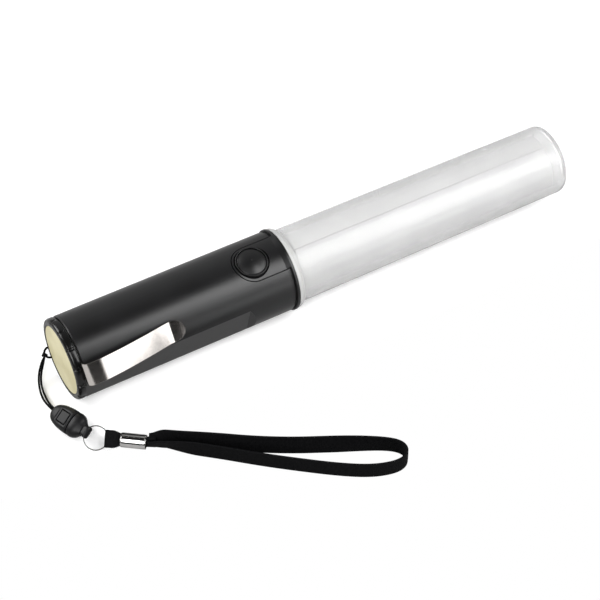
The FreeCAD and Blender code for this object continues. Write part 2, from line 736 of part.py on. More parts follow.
def band(points, thick, z0, height):
    """Flat webbing standing on its edge along a route in plan, with tangent arcs."""
    wire, radii = tube_wire(points)
    start = (points[1] - points[0]).normalize()
    across = V(-start.y, start.x, 0) * (thick / 2)
    foot = Part.Face(Part.makePolygon([points[0] - across, points[0] + across,
                                       points[0] + across + V(0, 0, height),
                                       points[0] - across + V(0, 0, height), points[0] - across]))
    solid = wire.makePipeShell([foot.OuterWire], True, False)
    solid.translate(V(0, 0, z0))
    print("band length %.1f" % wire.Length, "radii", [round(r, 1) for r in radii],
          "volume %.1f of %.1f" % (solid.Volume, wire.Length * thick * height))
    return solid


STRAP_ROUTE = [(20.2, -53.7), (25.5, -58.6), (36.0, -67.6), (48.5, -78.0), (62.5, -90.4), (78.0, -103.0),
               (92.5, -114.2), (104.5, -122.0), (114.5, -125.8), (121.5, -126.2), (126.0, -123.0),
               (125.9, -117.6), (121.0, -112.6), (110.5, -106.2), (96.0, -98.6), (80.0, -90.4),
               (64.0, -80.6), (50.0, -70.6), (38.0, -62.6), (28.0, -56.2), (21.4, -52.1)]


def wrist_strap():
    route = [V(x, y, 0) for x, y in STRAP_ROUTE]
    return band(route, STRAP_THICK, FLOOR, STRAP_WIDTH)


def webbing_loop():
    """End of the webbing, folded round the ring and back into the ferrule."""
    a = ring_centre()
    n = ring_normal()
    run = FERRULE_START - a
    run = (run - n * run.dot(n)).normalize()
    hub = a + run * RING_R
    wide = n.cross(run).normalize()
    half = 3.9
    inner_r = RING_WIRE_R + 0.45
    outer_r = inner_r + 0.8
    ahead = (FERRULE_START - hub)
    reach = ahead.Length - 0.4
    ahead = ahead.normalize()
    across = wide
    out = ahead.cross(across).normalize()
    origin = hub - across * half
    eye = Part.makeCylinder(outer_r, 2 * half, origin, across)
    body = frame_box(origin - out * outer_r, ahead, across, out, (reach, 2 * half, 2 * outer_r))
    body = body.fuse(eye)
    body = body.cut(Part.makeCylinder(inner_r, 2 * half + 4, origin - across * 2, across))
    for swing in LOOP_SWINGS:
        ring_room = Part.makeTorus(RING_R, RING_WIRE_R + 0.35, a, n)
        ring_room.rotate(hub, wide, swing)
        body = body.cut(ring_room)
    return body


# ---------------------------------------------------------------- build

def main():
    os.makedirs("parts", exist_ok=True)
    parts = {
        "grip_sleeve": grip_sleeve(),
        "sleeve_end_ring": sleeve_end_ring(),
        "head_ring": head_ring(),
        "button_seal": button_seal(),
        "button_cap": button_cap(),
        "switch_plunger": switch_plunger(),
        "switch_body": switch_body(),
        "switch_board": switch_board(),
        "switch_wires": switch_wires(),
        "battery_barrel": battery_barrel(),
        "battery_cell_rear": cell(CELL_START),
        "battery_cell_front": cell(CELL_START + CELL_LENGTH),
        "front_contact": front_contact(),
        "contact_carrier": contact_carrier(),
        "ground_strip": ground_strip(),
        "tail_cap": tail_cap(),
        "cap_label": cap_label(),
        "tail_contact": tail_contact(),
        "tail_spring": tail_spring(),
        "tail_o_ring": tail_o_ring(),
        "clip_ring": clip_ring(),
        "clip_arm": clip_arm(),
        "light_tube": light_tube(),
        "tube_collar": tube_collar(),
        "diffuser_film": diffuser_film(),
        "led_board": led_board(),
        "led_lamps": leds(),
        "reflector_cup": reflector_cup(),
        "board_screws": board_screws(),
        "led_driver": led_driver(),
        "cord_bight": cord_bight(),
        "cord_knot": cord_knot(),
        "lanyard_cord_front": cord_tube("lanyard_cord_front", CORD_FRONT, CORD_D),
        "lanyard_cord_back": cord_tube("lanyard_cord_back", CORD_BACK, CORD_D),
        "buckle_socket": buckle_socket(),
        "buckle_plug": buckle_plug(),
        "buckle_latch": buckle_latch(),
        "split_ring": split_ring(),
        "webbing_loop": webbing_loop(),
        "ferrule": ferrule(),
        "wrist_strap": wrist_strap(),
    }
    for name, shape in parts.items():
        save(name, shape)


main()
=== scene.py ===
import bpy
import math
from mathutils import Matrix, Vector


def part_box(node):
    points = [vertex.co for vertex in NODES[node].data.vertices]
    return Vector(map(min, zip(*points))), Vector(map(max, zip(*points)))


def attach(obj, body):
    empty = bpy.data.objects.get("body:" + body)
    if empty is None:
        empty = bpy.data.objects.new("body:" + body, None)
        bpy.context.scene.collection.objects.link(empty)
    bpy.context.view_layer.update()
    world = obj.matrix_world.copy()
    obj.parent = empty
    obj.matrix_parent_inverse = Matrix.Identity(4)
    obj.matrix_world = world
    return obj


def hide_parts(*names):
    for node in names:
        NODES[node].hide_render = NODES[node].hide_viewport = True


# The looks of a traffic baton light: materials, the pieces that need more detail than the
# CAD gives, the lanyard and the wrist strap, the floor, the lights and the camera.

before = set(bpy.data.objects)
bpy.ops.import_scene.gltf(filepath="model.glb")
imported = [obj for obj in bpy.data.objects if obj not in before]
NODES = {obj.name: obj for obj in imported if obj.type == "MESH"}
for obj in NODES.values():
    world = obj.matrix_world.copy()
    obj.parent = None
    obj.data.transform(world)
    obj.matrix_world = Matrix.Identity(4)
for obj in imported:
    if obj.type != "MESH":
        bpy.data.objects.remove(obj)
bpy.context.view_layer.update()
MM = 0.001

# ---------------------------------------------------------------- places taken from the frame

tube_lo, tube_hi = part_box("light_tube")
AXIS_Y = (tube_lo.y + tube_hi.y) / 2
AXIS_Z = (tube_lo.z + tube_hi.z) / 2
TAIL_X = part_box("tail_cap")[0].x
FLOOR_MM = -AXIS_Z / MM


def at(x, y, z):
    """Point given in mm from the middle of the tail end face, on the baton's axes."""
    return Vector((TAIL_X + x * MM, AXIS_Y + y * MM, AXIS_Z + z * MM))


def radial(angle):
    """Unit vector away from the axis: 0 faces -Y, 90 is up."""
    a = math.radians(angle)
    return Vector((0, -math.cos(a), math.sin(a)))


def tangent(angle):
    a = math.radians(angle)
    return Vector((0, math.sin(a), math.cos(a)))


def link(obj):
    bpy.context.scene.collection.objects.link(obj)
    return obj


def mesh_object(name, verts, faces, mat, smooth=True):
    mesh = bpy.data.meshes.new(name)
    mesh.from_pydata([tuple(v) for v in verts], [], faces)
    mesh.update()
    for poly in mesh.polygons:
        poly.use_smooth = smooth
    mesh.materials.append(mat)
    return link(bpy.data.objects.new(name, mesh))


def grid_faces(rows, columns, closed=False):
    """Quads of a grid of points, with the columns joined round when closed."""
    faces = []
    last = columns if closed else columns - 1
    for i in range(rows - 1):
        for j in range(last):
            k = (j + 1) % columns
            faces.append((i * columns + j, i * columns + k, (i + 1) * columns + k, (i + 1) * columns + j))
    return faces


def capped_grid(rows, columns):
    """Closed tube of quads with a fan-free cap at each end."""
    faces = grid_faces(rows, columns, closed=True)
    faces.append(tuple(range(columns))[::-1])
    faces.append(tuple((rows - 1) * columns + j for j in range(columns)))
    return faces


def route_curve(name, points, radius=0.0):
    """Smooth curve with the route's points as its control points."""
    data = bpy.data.curves.new(name, "CURVE")
    data.dimensions = "3D"
    data.resolution_u = 12
    spline = data.splines.new("NURBS")
    spline.points.add(len(points) - 1)
    for target, p in zip(spline.points, points):
        target.co = (p.x, p.y, p.z, 1.0)
    spline.order_u = 3
    spline.use_endpoint_u = True
    data.bevel_depth = radius
    data.bevel_resolution = 5
    data.use_fill_caps = True
    return link(bpy.data.objects.new(name, data))


def line_of(points):
    """Points along the route's own smooth line."""
    curve = route_curve("route_reader", points)
    mesh = bpy.data.meshes.new_from_object(curve)
    line = [v.co.copy() for v in mesh.vertices]
    bpy.data.objects.remove(curve)
    return line


def even_line(line, step):
    """The same line with points a step apart."""
    out = [line[0].copy()]
    total = sum((b - a).length for a, b in zip(line, line[1:]))
    count = max(2, round(total / step))
    gap = total / count
    run = 0.0
    target = gap
    for a, b in zip(line, line[1:]):
        length = (b - a).length
        while run + length >= target - 1e-9 and len(out) < count:
            out.append(a.lerp(b, (target - run) / length))
            target += gap
        run += length
    out.append(line[-1].copy())
    return out


def smooth_step(t):
    t = min(max(t, 0.0), 1.0)
    return t * t * (3 - 2 * t)


# ---------------------------------------------------------------- materials

def new_material(name):
    mat = bpy.data.materials.new(name)
    mat.use_nodes = True
    tree = mat.node_tree
    return mat, tree, tree.nodes["Principled BSDF"]


def add(tree, kind, **values):
    node = tree.nodes.new(kind)
    for key, value in values.items():
        if key in node.inputs:
            node.inputs[key].default_value = value
        else:
            setattr(node, key, value)
    return node


def noise_node(tree, scale, detail=3.0):
    coords = add(tree, "ShaderNodeTexCoord")
    node = add(tree, "ShaderNodeTexNoise", Scale=scale, Detail=detail)
    tree.links.new(coords.outputs["Object"], node.inputs["Vector"])
    return node


def vary_roughness(tree, bsdf, source, low, high):
    ramp = add(tree, "ShaderNodeMapRange")
    ramp.inputs["To Min"].default_value = low
    ramp.inputs["To Max"].default_value = high
    tree.links.new(source.outputs["Fac"], ramp.inputs["Value"])
    tree.links.new(ramp.outputs["Result"], bsdf.inputs["Roughness"])


def vary_color(tree, bsdf, source, dark, light):
    ramp = add(tree, "ShaderNodeValToRGB")
    ramp.color_ramp.elements[0].position = 0.35
    ramp.color_ramp.elements[1].position = 0.65
    ramp.color_ramp.elements[0].color = (*dark, 1)
    ramp.color_ramp.elements[1].color = (*light, 1)
    tree.links.new(source.outputs["Fac"], ramp.inputs["Fac"])
    tree.links.new(ramp.outputs["Color"], bsdf.inputs["Base Color"])


def bump_from(tree, bsdf, source, strength, distance):
    bump = add(tree, "ShaderNodeBump", Strength=strength, Distance=distance)
    tree.links.new(source.outputs["Fac"], bump.inputs["Height"])
    tree.links.new(bump.outputs["Normal"], bsdf.inputs["Normal"])


def plastic(name, dark, light, rough, grain=4000.0, strength=0.15, shine=0.5):
    """Moulded plastic or rubber with a fine grain and slight unevenness."""
    mat, tree, bsdf = new_material(name)
    broad = noise_node(tree, 60.0)
    fine = noise_node(tree, grain, 2.0)
    vary_color(tree, bsdf, broad, dark, light)
    vary_roughness(tree, bsdf, broad, rough - 0.04, rough + 0.04)
    bump_from(tree, bsdf, fine, strength, 0.00005)
    bsdf.inputs["Specular IOR Level"].default_value = shine
    return mat


def metal(name, color, rough, grain=900.0, strength=0.05):
    mat, tree, bsdf = new_material(name)
    wear = noise_node(tree, grain, 4.0)
    bsdf.inputs["Metallic"].default_value = 1.0
    vary_color(tree, bsdf, wear, tuple(c * 0.94 for c in color), color)
    vary_roughness(tree, bsdf, wear, rough, rough + 0.06)
    bump_from(tree, bsdf, wear, strength, 0.00002)
    return mat


def clear_plastic(name, tint, rough):
    mat, tree, bsdf = new_material(name)
    haze = noise_node(tree, 45.0, 2.0)
    vary_roughness(tree, bsdf, haze, rough, rough + 0.03)
    bsdf.inputs["Base Color"].default_value = (*tint, 1)
    bsdf.inputs["Transmission Weight"].default_value = 1.0
    bsdf.inputs["IOR"].default_value = 1.49
    return mat


def film_material():
    """White rolled sheet with faint streaks along its length; drawn opaque here, though the real sheet lets some light
    through.
    """
    mat, tree, bsdf = new_material("diffuser_sheet")
    coords = add(tree, "ShaderNodeTexCoord")
    stretch = add(tree, "ShaderNodeMapping")
    stretch.inputs["Scale"].default_value = (6.0, 90.0, 90.0)
    streaks = add(tree, "ShaderNodeTexNoise", Scale=1.0, Detail=3.0)
    tree.links.new(coords.outputs["Object"], stretch.inputs["Vector"])
    tree.links.new(stretch.outputs["Vector"], streaks.inputs["Vector"])
    vary_color(tree, bsdf, streaks, (0.78, 0.78, 0.775), (0.89, 0.89, 0.88))
    vary_roughness(tree, bsdf, streaks, 0.25, 0.40)
    bsdf.inputs["Subsurface Weight"].default_value = 0.0
    return mat


def tube_material():
    """Clear moulded tube, a little hazy, as handled acrylic is."""
    mat, tree, bsdf = new_material("tube_plastic")
    haze = noise_node(tree, 45.0, 2.0)
    vary_color(tree, bsdf, haze, (0.92, 0.92, 0.92), (0.95, 0.95, 0.95))
    vary_roughness(tree, bsdf, haze, 0.20, 0.30)
    bsdf.inputs["Specular IOR Level"].default_value = 0.2
    bsdf.inputs["Transmission Weight"].default_value = 0.75
    bsdf.inputs["IOR"].default_value = 1.45
    return mat


def collar_material():
    """Milky moulded plastic that lets a little light through."""
    mat, tree, bsdf = new_material("collar_plastic")
    cloud = noise_node(tree, 80.0, 2.0)
    vary_color(tree, bsdf, cloud, (0.60, 0.60, 0.60), (0.68, 0.68, 0.67))
    vary_roughness(tree, bsdf, cloud, 0.20, 0.28)
    bsdf.inputs["Transmission Weight"].default_value = 0.35
    bsdf.inputs["IOR"].default_value = 1.49
    return mat


def braid_material(name, scale):
    mat, tree, bsdf = new_material(name)
    weave = noise_node(tree, scale, 2.0)
    vary_color(tree, bsdf, weave, (0.0015, 0.0015, 0.0018), (0.005, 0.005, 0.0055))
    vary_roughness(tree, bsdf, weave, 0.6, 0.8)
    bump_from(tree, bsdf, weave, 0.5, 0.0001)
    bsdf.inputs["Specular IOR Level"].default_value = 0.05
    return mat


MAT = {
    "grip": plastic("grip_plastic", (0.0035, 0.0035, 0.0038), (0.005, 0.005, 0.0055), 0.32, 5000.0, 0.10, 0.52),
    "cap": plastic("cap_plastic", (0.0025, 0.0025, 0.0025), (0.004, 0.004, 0.004), 0.22, 2500.0, 0.03, 0.35),
    "button": plastic("button_rubber", (0.003, 0.003, 0.0035), (0.005, 0.005, 0.005), 0.38, 6000.0, 0.1, 0.5),
    "buckle": plastic("buckle_plastic", (0.002, 0.002, 0.0025), (0.005, 0.005, 0.0055), 0.40, 2600.0, 0.35, 0.22),
    "inner": plastic("liner_plastic", (0.03, 0.03, 0.032), (0.045, 0.045, 0.047), 0.5),
    "chip": plastic("chip_plastic", (0.012, 0.012, 0.012), (0.02, 0.02, 0.02), 0.45),
    "white": plastic("reflector_plastic", (0.80, 0.80, 0.80), (0.88, 0.88, 0.88), 0.25),
    "board": plastic("circuit_board", (0.01, 0.10, 0.03), (0.015, 0.16, 0.05), 0.35),
    "wire": plastic("wire_sleeve", (0.01, 0.01, 0.01), (0.02, 0.02, 0.02), 0.4),
    "seal": plastic("seal_rubber", (0.012, 0.012, 0.012), (0.02, 0.02, 0.02), 0.6),
    "cell": plastic("cell_wrap", (0.05, 0.05, 0.055), (0.08, 0.08, 0.085), 0.3),
    "label": plastic("label_disc", (0.52, 0.47, 0.27), (0.66, 0.61, 0.39), 0.40, 1500.0, 0.1),
    "lamp": clear_plastic("lamp_plastic", (0.9, 0.15, 0.12), 0.1),
    "tube": tube_material(),
    "collar": collar_material(),
    "film": film_material(),
    "dome": plastic("button_dome_rubber", (0.003, 0.003, 0.0035), (0.005, 0.005, 0.005), 0.34, 6000.0, 0.06, 0.5),
    "crimp": metal("crimp_plate", (0.60, 0.59, 0.58), 0.08),
    "ring": metal("ring_plate", (0.13, 0.13, 0.128), 0.15),
    "nickel": metal("nickel_plate", (0.70, 0.66, 0.63), 0.075),
    # Near-black washer colour is painted shade: the clip's ring is plated like the clip but sits in the shadowed gap
    # between cap and sleeve.
    "shade": metal("washer_painted_shade", (0.10, 0.10, 0.10), 0.45),
    "brass": metal("brass_contact", (0.8, 0.6, 0.28), 0.25),
    "steel": metal("spring_wire", (0.7, 0.7, 0.72), 0.2),
    "cord": braid_material("cord_braid", 2200.0),
    "webbing": braid_material("strap_weave", 1800.0),
}

CARRIED_OVER = {
    "grip_sleeve": "grip", "sleeve_end_ring": "grip", "head_ring": "grip", "button_seal": "button", "button_cap": "button",
    "switch_plunger": "chip", "switch_body": "chip", "switch_board": "board", "switch_wires": "wire",
    "battery_barrel": "inner", "battery_cell_rear": "cell", "battery_cell_front": "cell",
    "front_contact": "brass", "contact_carrier": "inner", "ground_strip": "brass", "tail_cap": "cap",
    "cap_label": "label", "tail_contact": "brass", "tail_spring": "steel", "tail_o_ring": "seal",
    # The clip's ring takes the painted-shade washer colour.
    "clip_ring": "shade", "clip_arm": "nickel", "light_tube": "tube", "tube_collar": "collar",
    "diffuser_film": "film", "led_board": "board", "led_lamps": "lamp", "reflector_cup": "white",
    "board_screws": "steel", "led_driver": "chip", "cord_bight": "cord", "cord_knot": "cord", "buckle_socket": "buckle",
    "buckle_plug": "buckle", "buckle_latch": "buckle", "split_ring": "nickel", "ferrule": "nickel",
    "webbing_loop": "webbing",
}


def dress_nodes():
    for name, key in CARRIED_OVER.items():
        mesh = NODES[name].data
        mesh.materials.clear()
        mesh.materials.append(MAT[key])
    for name in ("grip_sleeve", "sleeve_end_ring", "head_ring"):
        soften(NODES[name], 0.2, 40)


# ---------------------------------------------------------------- turned and swept shapes

def turned_faces(rows, columns, closed_profile):
    faces = grid_faces(rows, columns, closed=True)
    if closed_profile:
        for j in range(columns):
            k = (j + 1) % columns
            faces.append(((rows - 1) * columns + j, (rows - 1) * columns + k, k, j))
    return faces


def rounded_profile(points, radius, steps=4):
    """Closed outline of (along, out) points with every corner rounded."""
    out = []
    count = len(points)
    for i, p in enumerate(points):
        here = Vector(p)
        before = Vector(points[i - 1]) - here
        after = Vector(points[(i + 1) % count]) - here
        reach = min(radius, before.length * 0.45, after.length * 0.45)
        start = here + before.normalized() * reach
        end = here + after.normalized() * reach
        for k in range(steps + 1):
            t = k / steps
            out.append(start * (1 - t) ** 2 + here * 2 * t * (1 - t) + end * t ** 2)
    return out


def turned(name, origin, axis, profile, mat, columns=96, shape=None):
    """Ring-shaped or solid turned body from a closed outline of (along, out) in mm."""
    axis = axis.normalized()
    side = axis.orthogonal().normalized() if shape is None else radial(0)
    up = axis.cross(side)
    verts = []
    for along, out in profile:
        for j in range(columns):
            a = 2 * math.pi * j / columns
            r = out if shape is None else shape(along, out, math.degrees(a))
            verts.append(origin + (axis * along + (side * math.cos(a) + up * math.sin(a)) * max(r, 0.001)) * MM)
    return mesh_object(name, verts, turned_faces(len(profile), columns, True), mat)


def smooth_through(points, per_span):
    """Catmull-Rom line through the given points."""
    ends = [points[0] * 2 - points[1]] + list(points) + [points[-1] * 2 - points[-2]]
    out = []
    for i in range(1, len(ends) - 2):
        a, b, c, d = ends[i - 1:i + 3]
        for k in range(per_span):
            t = k / per_span
            out.append(b + (c - a) * (t / 2) + (a * 2 - b * 5 + c * 4 - d) * (t * t / 2)
                       + (b * 3 - a - c * 3 + d) * (t ** 3 / 2))
    out.append(points[-1].copy())
    return out


def ribbon(name, line, ups, half_widths, thick, mat, pitch=0.0, bows=None, section=22):
    """Webbing along a line: width direction and half width at each point, ribs across it."""
    verts = []
    run = 0.0
    for i, p in enumerate(line):
        if i:
            run += (p - line[i - 1]).length
        ahead = (line[min(i + 1, len(line) - 1)] - line[max(i - 1, 0)]).normalized()
        up = (ups[i] - ahead * ups[i].dot(ahead)).normalized()
        out = ahead.cross(up).normalized()
        rib = 1.0
        if pitch:
            rib += 0.16 * abs(math.sin(math.pi * run / pitch))
        bow = bows[i] if bows else 0.0
        for k in range(section):
            a = 2 * math.pi * k / section
            c, w = math.cos(a), math.sin(a)
            u = math.copysign(abs(c) ** 0.45, c)
            v = math.copysign(abs(w) ** 0.55, w)
            edge = 1.0 + 0.25 * smooth_step((abs(u) - 0.80) * 8)
            verts.append(p + up * (half_widths[i] * u) + out * (thick / 2 * v * rib * edge + bow * (1 - u * u)))
    return mesh_object(name, verts, capped_grid(len(line), section), mat)


def soften(obj, width, angle=35.0, segments=3):
    """Round the sharp edges of a body a little."""
    bevel = obj.modifiers.new("soft_edges", "BEVEL")
    bevel.width = width * MM
    bevel.segments = segments
    bevel.limit_method = "ANGLE"
    bevel.angle_limit = math.radians(angle)
    bevel.harden_normals = False
    return obj


# ---------------------------------------------------------------- tail cap

LOBES = 13
LOBE_ANGLE = 79.5
CAP_R = 21.5


def lobed(along, out, angle):
    """Radius of the cap's rim: shallow scoops between its lobes."""
    if out < 19.0 or along > 4.2:
        return out
    step = 360.0 / LOBES
    off = (angle - LOBE_ANGLE + step / 2) % step - step / 2
    scoop = 0.8 * (1 - smooth_step((abs(off) - 0.9) / 1.5))
    share = smooth_step((out - 19.6) / 1.0)
    return out - scoop * share


def make_cap():
    """Screw cap with its lobed rim, inset face, skirt and thread ridges."""
    skirt_out, skirt_in, thread_start = 17.2, 15.5, 7.9
    pitch, crest = 1.5, skirt_out + 0.42
    outline = [(0.9, 18.15), (0.25, 18.15), (0.0, 18.4), (0.0, 19.3)]
    for k in range(7):
        a = math.radians(90 * k / 6)
        outline.append((1.7 - 1.7 * math.cos(a), 19.8 + 1.7 * math.sin(a)))
    outline += [(2.6, CAP_R), (3.7, CAP_R), (3.95, CAP_R - 0.12), (4.1, CAP_R - 0.4)]
    outline += [(4.1, 19.4), (4.1, skirt_out + 0.2)]
    outline += [(4.3, skirt_out), (thread_start - 0.7, skirt_out)]
    for k in range(4):
        x = thread_start + pitch * k
        outline += [(x - 0.5, skirt_out), (x - 0.15, crest), (x + 0.15, crest), (x + 0.5, skirt_out)]
    outline += [(12.9, skirt_out), (13.2, skirt_out - 0.3), (13.2, skirt_in + 0.2), (13.0, skirt_in),
                (3.2, skirt_in), (3.0, 15.3), (3.0, 6.0), (3.0, 0.02), (0.9, 0.02), (0.9, 9.0), (0.9, 17.6)]
    cap = turned("cap_shell", at(0, 0, 0), Vector((1, 0, 0)), outline, MAT["cap"], 624, lobed)
    soften(cap, 0.12, 50, 2)
    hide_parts("tail_cap")
    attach(cap, "cap")


# ---------------------------------------------------------------- button

BUTTON_ANGLE = 76.0
BUTTON_X = 104.6


def make_button():
    origin = at(BUTTON_X, 0, 0)
    axis = radial(BUTTON_ANGLE)
    corners = [(17.6, 9.04), (18.4, 9.04), (18.5, 8.45), (21.7, 8.4), (21.75, 7.75), (17.6, 7.75)]
    ring = rounded_profile(corners, 0.22)
    bezel = turned("button_bezel", origin, axis, ring, MAT["button"])
    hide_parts("button_seal")
    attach(bezel, "handle")
    dome = [(18.4, 0.02), (18.4, 7.1), (18.6, 7.4), (21.0, 7.4)]
    for k in range(5):
        a = math.radians(22.5 * k)
        dome.append((21.0 + 0.45 * math.sin(a), 6.95 + 0.45 * math.cos(a)))
    for k in range(1, 15):
        r = 6.7 * (1 - k / 14)
        dome.append((21.5 + 1.5 * (1 - (r / 6.9) ** 2), max(r, 0.02)))
    cap = turned("button_dome", origin, axis, dome, MAT["dome"])
    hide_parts("button_cap")
    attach(cap, "button")


# ---------------------------------------------------------------- pocket clip

CLIP_ANGLE = 25.0
CLIP_START = 4.25
CLIP_SKEW = math.radians(2.6)
CLIP_PROFILE = [(4.25, 21.95), (4.25, 23.2), (4.27, 24.3), (4.5, 25.3), (5.1, 26.2), (6.1, 26.75), (7.6, 27.08),
                (9.6, 27.3), (12.5, 27.36), (19.0, 27.0), (26.0, 26.4), (38.0, 24.7), (46.0, 23.2), (50.2, 22.55),
                (52.9, 22.5), (56.0, 23.08), (58.8, 24.02)]


def make_clip():
    """Bent strip of bright steel with a round free end."""
    line = smooth_through([Vector((x, 0, r)) for x, r in CLIP_PROFILE], 10)
    tip_r = 5.7
    round_x = 58.8 - tip_r
    tail = [p for p in line if p.x > round_x - 3]
    line = [p for p in line if p.x < round_x]
    for k in range(1, 19):
        x = round_x + tip_r * math.sin(math.radians(5 * k))
        before, after = next((a, b) for a, b in zip(tail, tail[1:]) if b.x >= x - 0.001)
        line.append(before.lerp(after, (x - before.x) / (after.x - before.x)))
    columns = 25
    verts = []
    for p in line:
        half = 6.0 - 0.3 * (p.x - CLIP_START) / (round_x - CLIP_START)
        if p.x > round_x:
            half = math.sqrt(max(tip_r ** 2 - (p.x - round_x) ** 2, 0.0))
        for j in range(columns):
            y = max(half, 0.02) * math.sin(math.pi * (j / (columns - 1) - 0.5))
            dx, dy = p.x - CLIP_START, y
            x = CLIP_START + dx * math.cos(CLIP_SKEW) - dy * math.sin(CLIP_SKEW)
            y = dx * math.sin(CLIP_SKEW) + dy * math.cos(CLIP_SKEW)
            v = tangent(CLIP_ANGLE) * y + radial(CLIP_ANGLE) * p.z
            verts.append(at(x, v.y, v.z))
    clip = mesh_object("clip_strip", verts, grid_faces(len(line), columns), MAT["nickel"])
    shell = clip.modifiers.new("thickness", "SOLIDIFY")
    shell.thickness = 0.6 * MM
    shell.offset = CLIP_SIDE
    soften(clip, 0.22, 50)
    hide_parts("clip_arm")
    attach(clip, "clip")


CLIP_SIDE = -1.0

# ---------------------------------------------------------------- lanyard cord and wrist strap

CORD_D = 1.1
CORD_FRONT = [(-2.6, 16.4, -12.4), (-5.6, 14.8, -14.6), (-9.0, 11.0, -17.6), (-11.5, 5.6, -20.1),
              (-12.9, -1.4, -20.7), (-12.6, -8.4, -19.4), (-11.7, -13.2, -18.6)]
CORD_BACK = [(-2.2, 17.4, -12.9), (-4.6, 15.0, -16.2), (-7.6, 11.6, -18.9), (-10.0, 6.4, -20.9),
             (-11.2, -0.8, -20.9), (-11.5, -7.6, -19.8), (-10.6, -13.0, -18.8)]
STRAP_W = 10.0
STRAP_T = 1.1
STRAP_ROUTE = [(20.2, -53.7), (25.5, -58.6), (36.0, -67.6), (48.5, -78.0), (62.5, -90.4), (78.0, -103.0),
               (92.5, -114.2), (104.5, -122.0), (114.5, -125.8), (121.5, -126.2), (126.0, -123.0),
               (125.9, -117.6), (121.0, -112.6), (110.5, -106.2), (96.0, -98.6), (80.0, -90.4),
               (64.0, -80.6), (50.0, -70.6), (38.0, -62.6), (28.0, -56.2), (21.4, -52.1)]

WEBBING_ROOT = [(18.4, -52.15), (20.0, -53.1), (21.6, -54.0), (23.4, -55.1)]


def length_of(line):
    return sum((b - a).length for a, b in zip(line, line[1:]))


def make_cord(name, route, node):
    points = [at(*p) for p in route]
    cord = route_curve(name, points, CORD_D / 2 * MM)
    cord.data.materials.append(MAT["cord"])
    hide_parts(node)
    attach(cord, "lanyard")
    length_of(line_of(points))
    return cord


def strap_line():
    """Middle line of the webbing, half its width above the floor."""
    points = [at(x, y, FLOOR_MM + STRAP_W / 2 + 0.2) for x, y in STRAP_ROUTE]
    return even_line(line_of(points), 0.2 * MM)


def strap_lean(s):
    """Degrees that the webbing leans from upright, towards the far side, along its length."""
    front = -30 * (1 - smooth_step(s / 0.10))
    back = 15 * smooth_step((s - 0.52) * 7) + 16 * smooth_step((s - 0.93) / 0.07)
    return front + back


def make_strap():
    line = strap_line()
    total = length_of(line)
    away = Vector((0.49, 0.87, 0)).normalized()
    centres, ups, widths, bows = [], [], [], []
    run = 0.0
    for i, p in enumerate(line):
        if i:
            run += (p - line[i - 1]).length
        ahead = (line[min(i + 1, len(line) - 1)] - line[max(i - 1, 0)]).normalized()
        side = Vector((-ahead.y, ahead.x, 0)).normalized()
        toward = 1 if side.dot(away) > 0 else -1
        lean = math.radians(strap_lean(run / total))
        up = (Vector((0, 0, 1)) * math.cos(lean) + side * toward * math.sin(lean)).normalized()
        ends = min(run, total - run) / MM
        half = STRAP_W / 2 * MM * (0.70 + 0.30 * smooth_step(ends / 8.5))
        lift = half * math.cos(lean) - STRAP_W / 2 * MM
        lift += 0.25 * MM * (1 - smooth_step(ends / 8.0))
        centres.append(p + Vector((0, 0, lift)))
        ups.append(up)
        widths.append(half)
        bows.append(0.9 * MM * (1 - smooth_step(ends / 9.0)) * (1 if run < total / 2 else -1))
    strap = ribbon("wrist_webbing", centres, ups, widths, STRAP_T * MM, MAT["webbing"], 1.0 * MM, bows)
    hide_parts("wrist_strap")
    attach(strap, "strap")


def make_webbing_root():
    """Folded webbing that fills the mouth of the crimp, between the two runs of the strap."""
    line = smooth_through([at(x, y, FLOOR_MM + 3.9) for x, y in WEBBING_ROOT], 6)
    halves = [(3.1 + 0.3 * i / (len(line) - 1)) * MM for i in range(len(line))]
    root = ribbon("webbing_root", line, [Vector((0, 0, 1))] * len(line), halves, 2.2 * MM, MAT["webbing"])
    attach(root, "strap")


# ---------------------------------------------------------------- knot, ring, webbing end and crimp

FERRULE = (at(9.6, -45.6, FLOOR_MM + 3.7), at(19.4, -52.9, FLOOR_MM + 3.7))


def thin_cord(name, points, radius, mat, closed=False):
    data = bpy.data.curves.new(name, "CURVE")
    data.dimensions = "3D"
    data.resolution_u = 8
    spline = data.splines.new("NURBS")
    spline.points.add(len(points) - 1)
    for target, p in zip(spline.points, points):
        target.co = (p.x, p.y, p.z, 1.0)
    spline.use_cyclic_u = closed
    spline.order_u = 4
    spline.use_endpoint_u = not closed
    data.bevel_depth = radius
    data.bevel_resolution = 4
    data.use_fill_caps = True
    data.materials.append(mat)
    return link(bpy.data.objects.new(name, data))


def make_knot():
    """Bight of the cord through the cap's two holes and the hitch drawn up on it."""
    r = CORD_D / 2 * MM
    eyes = [Vector((0, -math.cos(math.radians(a)), math.sin(math.radians(a)))) * 19.7 for a in (206, 222)]
    upper, lower = eyes
    bight = [(2.6, upper), (1.2, upper), (0.0, upper)]
    points = [at(x, p.y, p.z) for x, p in bight]
    points += [at(-1.3, upper.y, upper.z - 0.2), at(-2.3, 17.2, -10.0), at(-2.7, 16.6, -11.3),
               at(-2.3, 15.9, -12.4), at(-1.4, lower.y + 0.3, lower.z + 0.3)]
    points += [at(0.0, lower.y, lower.z), at(1.2, lower.y, lower.z), at(2.6, lower.y, lower.z)]
    loop = thin_cord("cord_bight_loop", points, r, MAT["cord"])
    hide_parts("cord_bight")
    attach(loop, "cap")
    centre = at(-2.5, 16.5, -11.9)
    ahead = Vector((-0.70, -0.42, -0.57)).normalized()
    side = ahead.cross(Vector((0, 0, 1))).normalized()
    up = side.cross(ahead)
    turns = []
    for k in range(27):
        a = 2 * math.pi * k / 12
        lift = (k / 26 - 0.5) * 1.5 * MM
        wide = 1.0 * MM
        turns.append(centre + ahead * lift + side * math.cos(a) * wide + up * math.sin(a) * wide * 0.8)
    hitch = thin_cord("cord_hitch", turns, r * 0.95, MAT["cord"])
    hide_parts("cord_knot")
    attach(hitch, "lanyard")


